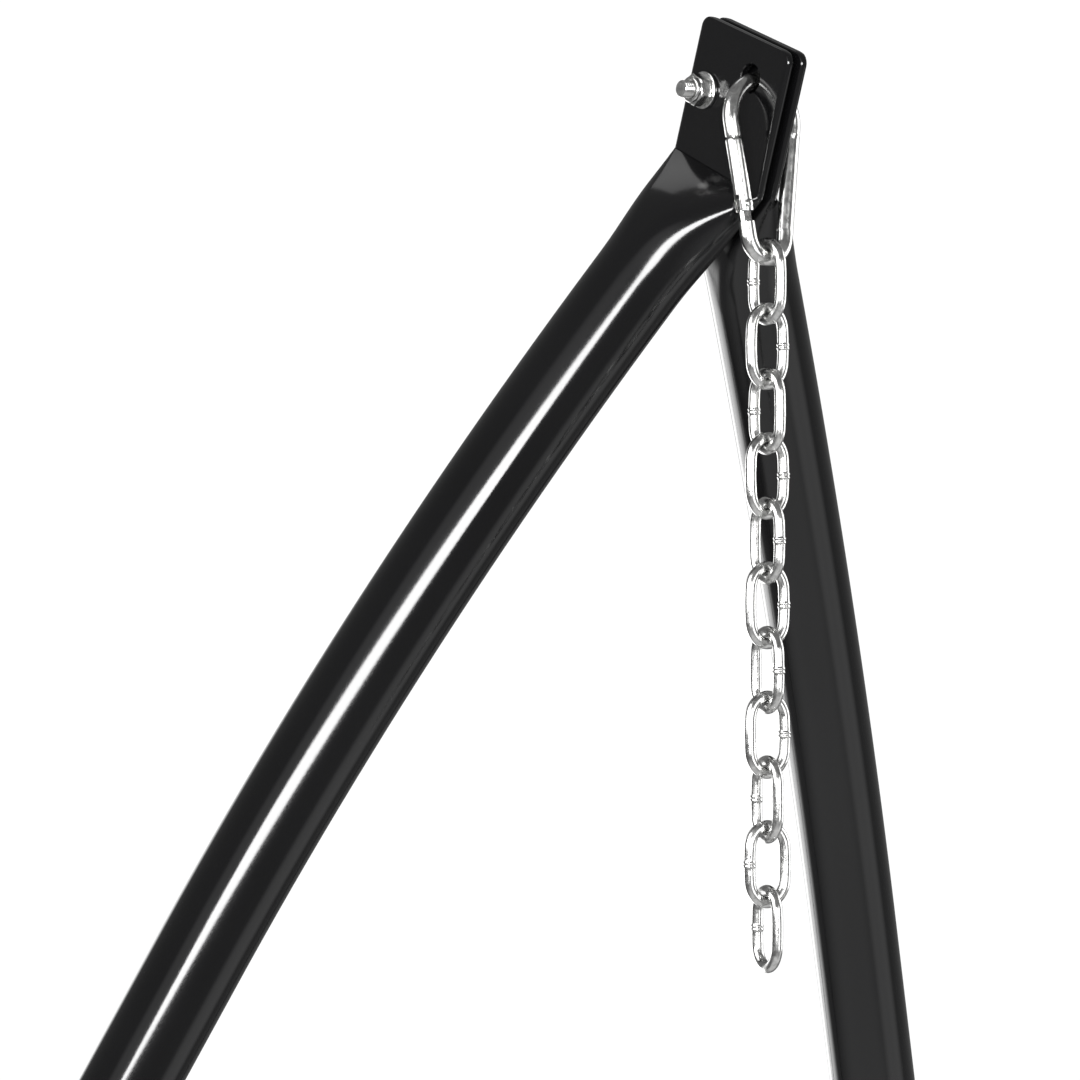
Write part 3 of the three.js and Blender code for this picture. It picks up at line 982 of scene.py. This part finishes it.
base = {
    "spigotRadius": 19 * mm,
    "spigotLength": 56 * mm,
    "crossRadius": 16 * mm,
    "crossSwell": 55 * mm,  # from the pressed end to the full round
    "crossFlat": 50 * mm,
    "crossSpread": 44 / 48,  # the pressed end is this much narrower than the tube's own girth gives
    "footCorner": 4 * mm,
    "footLip": 0.8 * mm,
    "footGap": 0.15 * mm,
    "underRail": 4.35 * mm,  # the bolt's head below a crossbar
    "nutTurn": 0.4,
}


def makeRail(side):
    node = f"side_rail_{side}"
    low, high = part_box(node)
    middle = (low + high) / 2
    reach = (high.x - low.x) / 2
    tubeEnd = reach - base["spigotLength"] + 0.3 * mm
    radius = leg["tubeRadius"]
    profile = [
        (base["spigotRadius"] - 1 * mm, -reach),
        (base["spigotRadius"], -reach + 1.5 * mm),
        (base["spigotRadius"], -tubeEnd),
        (radius - 0.7 * mm, -tubeEnd),
        (radius - 0.2 * mm, -tubeEnd + 0.2 * mm),
        (radius, -tubeEnd + 0.8 * mm),
    ]
    profile += [(radius, tubeEnd * s) for s in (-0.6, -0.2, 0.2, 0.6)]
    profile += [(r, -h) for r, h in reversed(profile[:6])]
    verts, faces = loft(lathe(profile, 96))
    place = alignZ(Vector((0, middle.y, middle.z)), xAxis)
    rail = meshObject(f"{node}_tube", verts, faces, place)
    finishPiece(rail, enamel, "frame", [node])


def makeCrossbar(prefix):
    node = f"{prefix}_crossbar"
    low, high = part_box(node)
    reach = (high.y - low.y) / 2
    half = leg["tabThickness"] / 2
    height = (low.z + high.z) / 2
    flatLength = base["crossFlat"]
    # distance from the end, half thickness, how far the two edges are drawn in
    stations = [(0.0, 1.2 * mm, 4 * mm), (0.6 * mm, half - 0.2 * mm, 1.6 * mm), (2.4 * mm, half, 0.4 * mm)]
    stations += [(y, half, 0) for y in (6 * mm, 20 * mm, flatLength - 4 * mm, flatLength)]
    for i in range(1, 15):
        share = i / 14
        grown = half + (base["crossRadius"] - half) * math.sin(share * math.pi / 2)
        stations.append((flatLength + base["crossSwell"] * share, grown, 0))
    full = [(s - reach, r, inset) for s, r, inset in stations]
    full += [(-y, r, inset) for y, r, inset in reversed(full)]
    points = [Vector((0, y, 0)) for y, r, inset in full]

    def section(i):
        y, radius, inset = full[i]
        flat = math.pi * (base["crossRadius"] - radius) * base["crossSpread"] - 2 * inset
        return pressedSection(max(flat, 0), radius, 72)

    verts, faces = loft(carriedRings(points, xAxis, section))
    centre = Vector(((low.x + high.x) / 2, 0, height))
    bar = meshObject(f"{node}_tube", verts, faces, Matrix.Translation(centre))
    finishPiece(bar, enamel, "frame", [node])


def makeFoot(node):
    low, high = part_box(node)
    centre = Vector(((low.x + high.x) / 2, (low.y + high.y) / 2, 0))
    inner = leg["tubeRadius"] + base["footGap"]
    outer = (high.y - low.y) / 2
    length = high.x - low.x
    lip, corner = base["footLip"], base["footCorner"]
    half = [(-outer, 3 * corner)]
    for i in range(7):
        t = math.pi / 2 * i / 6
        half.append((-outer + corner * (1 - math.cos(t)), corner * (1 - math.sin(t))))
    outline = half + [(-y, z) for y, z in reversed(half)]
    rim = [(outer, railHeight - 1 * mm), (outer - 1 * mm, railHeight), (inner + 0.6 * mm, railHeight)]
    outline += rim
    for i in range(33):  # the cradle that the tube lies in
        t = -math.pi * i / 32
        outline.append((inner * math.cos(t), railHeight - 0.6 * mm + inner * math.sin(t)))
    outline += [(-y, z) for y, z in reversed(rim)]
    middleZ = railHeight * 0.3
    rounding = ((1, 0), (0.35, 0.35), (0, 1))  # shares of the lip taken off the outline and off the length
    rings = []
    for end, steps in ((-1, rounding), (1, reversed(rounding))):
        for shrink, push in steps:
            x = end * (length / 2 - push * lip)
            size = 1 - shrink * lip / outer
            ring = []
            for y, z in outline:
                across = y * size if abs(y) > inner else y
                ring.append(Vector((x, across, middleZ + (z - middleZ) * size)))
            rings.append(ring)
    verts, faces = loft(rings)
    foot = meshObject(f"{node}_saddle", verts, faces, Matrix.Translation(centre))
    finishPiece(foot, plastic, "frame", [node])


def makeBaseFasteners(prefix, side):
    size = fastener["m8"]
    low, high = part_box(f"{prefix}_crossbar_nut_{side}")
    x, y = (low.x + high.x) / 2, (low.y + high.y) / 2
    nut = Matrix.Translation((x, y, low.z)) @ Matrix.Rotation(base["nutTurn"], 4, "Z")
    node = f"{prefix}_crossbar_nut_{side}"
    boltPiece(f"{node}_collared", lockNutMesh(size), nut, node)
    boltLow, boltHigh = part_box(f"{prefix}_crossbar_bolt_{side}")
    rod = threadedRod(size, boltLow.z + 3 * mm, boltHigh.z, low.z)
    place = Matrix.Translation((x, y, 0))
    node = f"{prefix}_crossbar_bolt_{side}"
    boltPiece(f"{node}_shank", rod, place, node)
    down = Matrix.Translation((x, y, boltLow.z + 4.5 * mm)) @ Matrix.Rotation(math.pi, 4, "X")
    head = hexHead(size["flats"], base["underRail"])
    boltPiece(f"{node}_head", head, down, None)
    node = f"{prefix}_sleeve_screw_{side}"
    low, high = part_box(node)
    centre = Vector(((low.x + high.x) / 2, (low.y + high.y) / 2, high.z - 4 * mm))
    head = hexHead(fastener["m6"]["flats"], fastener["screwHead"])
    boltPiece(f"{node}_head", head, Matrix.Translation(centre), node)


for side in ("left", "right"):
    makeRail(side)
    for prefix in ends:
        makeFoot(f"{prefix}_foot_{side}")
        makeBaseFasteners(prefix, side)
for prefix in ends:
    makeCrossbar(prefix)
print("base made")

# studio: floor, lights, backdrop and camera

studio = {
    "azimuth": math.radians(51),
    "distance": 2.5,
    "seenWidth": 0.4821,  # metres across the view at the hook hole
    "holeRight": 0.0982,
    "holeUp": 0.2057,
    "floorRadius": 3.0,
    "softboxes": (  # right, up, towards the lens; what it faces; width, height; radiance; zinc pieces only
        ("front softbox", (-0.35, 0.0, 2.7), (-0.15, -0.25, 0), (1.8, 0.62), 26, False),
        ("rear overhead softbox", (-0.44, 1.92, -0.98), (0, 0, 0), (0.75, 0.6), 0.88, False),
        ("hardware light left", (-1.5, 0.5, 0.9), (0, 0, 0), (1.6, 1.6), 3.4, True),
        ("hardware light right", (1.3, -0.2, 1.5), (0, 0, 0), (1.0, 1.6), 2.4, True),
        ("hardware light rear", (1.7, 0.1, -0.7), (0, 0, 0), (1.4, 1.8), 2.4, True),
    ),
}
hole = Vector(joints["head_hook_swing"]["pos_m"])
azimuth = studio["azimuth"]
backward = Vector((math.sin(azimuth), -math.cos(azimuth), 0))
sideways = Vector((math.cos(azimuth), math.sin(azimuth), 0))


def makeFloor():
    verts, faces = loft(lathe([(studio["floorRadius"], -0.004), (studio["floorRadius"], -0.0005)], 128))
    floor = meshObject("studio_floor", verts, faces)
    floor.data.materials.append(paleFloor())
    floor.visible_glossy = False


def softbox(name, place, target, width, height, radiance):
    light = bpy.data.lights.new(name, "AREA")
    light.shape = "RECTANGLE"
    light.size, light.size_y = width, height
    light.energy = radiance * math.pi * width * height
    obj = bpy.data.objects.new(name, light)
    bpy.context.scene.collection.objects.link(obj)
    obj.location = place
    obj.rotation_mode = "QUATERNION"
    obj.rotation_quaternion = (place - target).to_track_quat("Z", "Y")
    obj.visible_camera = False
    return obj


def studioPoint(right, up, towards):  # metres from the head's hook hole, as the camera sees them
    return hole + sideways * right + zAxis * up + backward * towards


def gatherHardware():
    # the zinc pieces get two soft lights of their own, flagged off the black tubes
    hardware = bpy.data.collections.new("zinc hardware")
    for obj in bpy.context.scene.collection.objects:
        if obj.type == "MESH" and obj.data.materials and "zinc" in obj.data.materials[0].name:
            hardware.objects.link(obj)
    return hardware


def makeLights(hardware):
    for name, place, facing, size, radiance, zincOnly in studio["softboxes"]:
        light = softbox(name, studioPoint(*place), studioPoint(*facing), *size, radiance)
        if zincOnly:
            light.light_linking.receiver_collection = hardware


def makeBackdrop():
    # white to the eye; reflections see a dim room with a few pale cloths
    look = {
        "room": 0.2,
        "cloths": (  # right, up, towards the lens; brightness; half angles where it is full and where it ends
            ((-0.50, -0.25, -0.83), 3.4, 9, 30),
            ((0.84, -0.52, 0.05), 0.6, 4, 25),
            ((-0.44, 0.22, 0.87), 0.5, 10, 24),
            ((0.0, -1.0, 0.2), 0.45, 25, 60),
        ),
    }
    world = bpy.data.worlds.new("studio backdrop")
    bpy.context.scene.world = world
    world.use_nodes = True
    tree = world.node_tree
    tree.nodes.clear()
    out = addNode(tree, "ShaderNodeOutputWorld")
    direction = addNode(tree, "ShaderNodeTexCoord").outputs["Generated"]
    total = None
    for (right, up, towards), brightness, full, fades in look["cloths"]:
        centre = (sideways * right + zAxis * up + backward * towards).normalized()
        facing = addNode(
            tree,
            "ShaderNodeVectorMath",
            {"operation": "DOT_PRODUCT", 1: tuple(centre)},
            {0: direction},
        )
        cloth = addNode(
            tree,
            "ShaderNodeMapRange",
            {
                "From Min": math.cos(math.radians(fades)),
                "From Max": math.cos(math.radians(full)),
                "To Min": 0.0,
                "To Max": brightness,
                "interpolation_type": "SMOOTHSTEP",
            },
            {"Value": facing.outputs["Value"]},
        )
        links = {0: cloth.outputs[0]}
        if total:  # the first sum starts from the room's own glow
            links[1] = total.outputs[0]
        total = addNode(tree, "ShaderNodeMath", {"operation": "ADD", 1: look["room"]}, links)
    dim = addNode(tree, "ShaderNodeBackground", {"Color": grey(1.0)}, {"Strength": total.outputs[0]})
    white = addNode(tree, "ShaderNodeBackground", {"Color": grey(1.0), "Strength": 1.05})
    path = addNode(tree, "ShaderNodeLightPath")
    mix = addNode(
        tree,
        "ShaderNodeMixShader",
        {},
        {0: path.outputs["Is Camera Ray"], 1: dim.outputs[0], 2: white.outputs[0]},
    )
    tree.links.new(mix.outputs[0], out.inputs["Surface"])


def makeCamera():
    data = bpy.data.cameras.new("camera")
    data.lens = data.sensor_width * studio["distance"] / studio["seenWidth"]
    data.clip_end = 100
    camera = bpy.data.objects.new("camera", data)
    bpy.context.scene.collection.objects.link(camera)
    aim = hole - sideways * studio["holeRight"] - zAxis * studio["holeUp"]
    camera.location = aim + backward * studio["distance"]
    camera.rotation_mode = "QUATERNION"
    camera.rotation_quaternion = backward.to_track_quat("Z", "Y")
    bpy.context.scene.camera = camera


makeFloor()
makeLights(gatherHardware())
makeBackdrop()
makeCamera()
bpy.context.scene.view_settings.view_transform = "Standard"
print("studio made")
